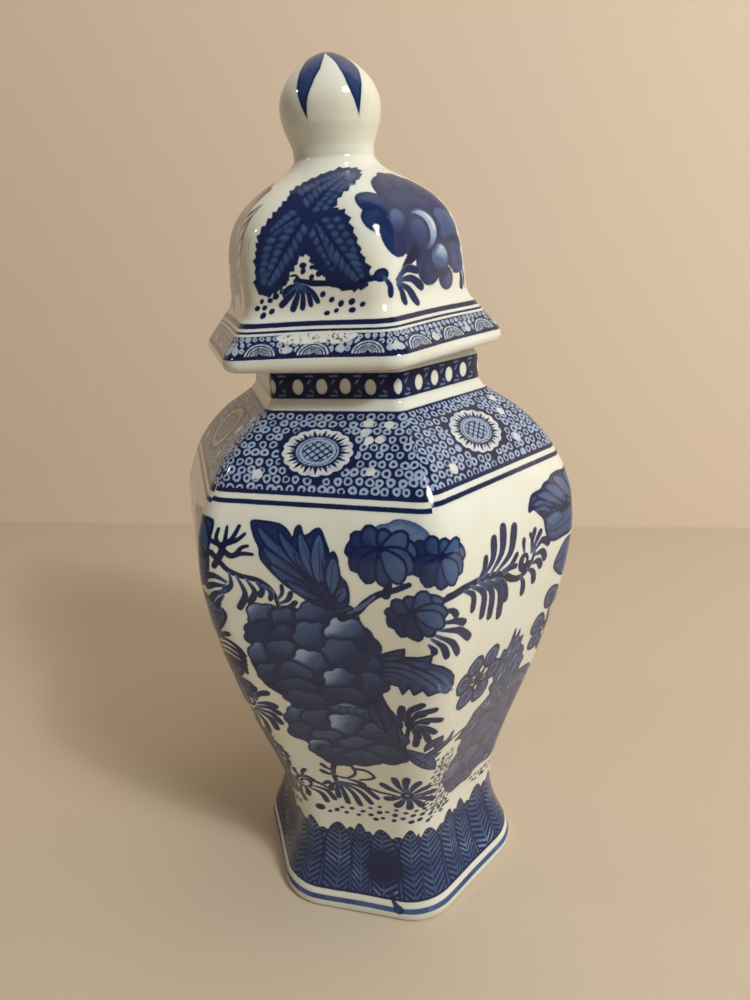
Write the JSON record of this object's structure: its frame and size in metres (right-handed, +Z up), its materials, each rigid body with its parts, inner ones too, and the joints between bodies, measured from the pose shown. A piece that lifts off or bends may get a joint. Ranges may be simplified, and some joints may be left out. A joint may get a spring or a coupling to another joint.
{
  "type": "ginger jar",
  "caption": "Hexagonal covered ginger jar with a waisted foot, high shoulder, short neck and a loose domed lid with a flared brim and round knob, printed with blue flowers.",
  "frame": {"origin": "centre of the foot ring's resting face, on the jar's axis", "axes": "+Z up through the knob; two flat sides face -Y and +Y, two arrises lie on -X and +X; the most decorated side faces -Y"},
  "size_m": [0.106, 0.094, 0.216],
  "materials": {
    "body_glaze": "gloss glaze over cobalt blue print",
    "lid_glaze": "gloss glaze over cobalt blue print"
  },
  "bodies": {
    "jar": {"jar_body": "body_glaze"},
    "cover": {"lid": "lid_glaze"}
  },
  "joints": [
    {"name": "lid_lift", "type": "slide", "parent": "jar", "child": "cover", "axis": [0, 0, 1], "range_m": [0, 0.06]}
  ]
}
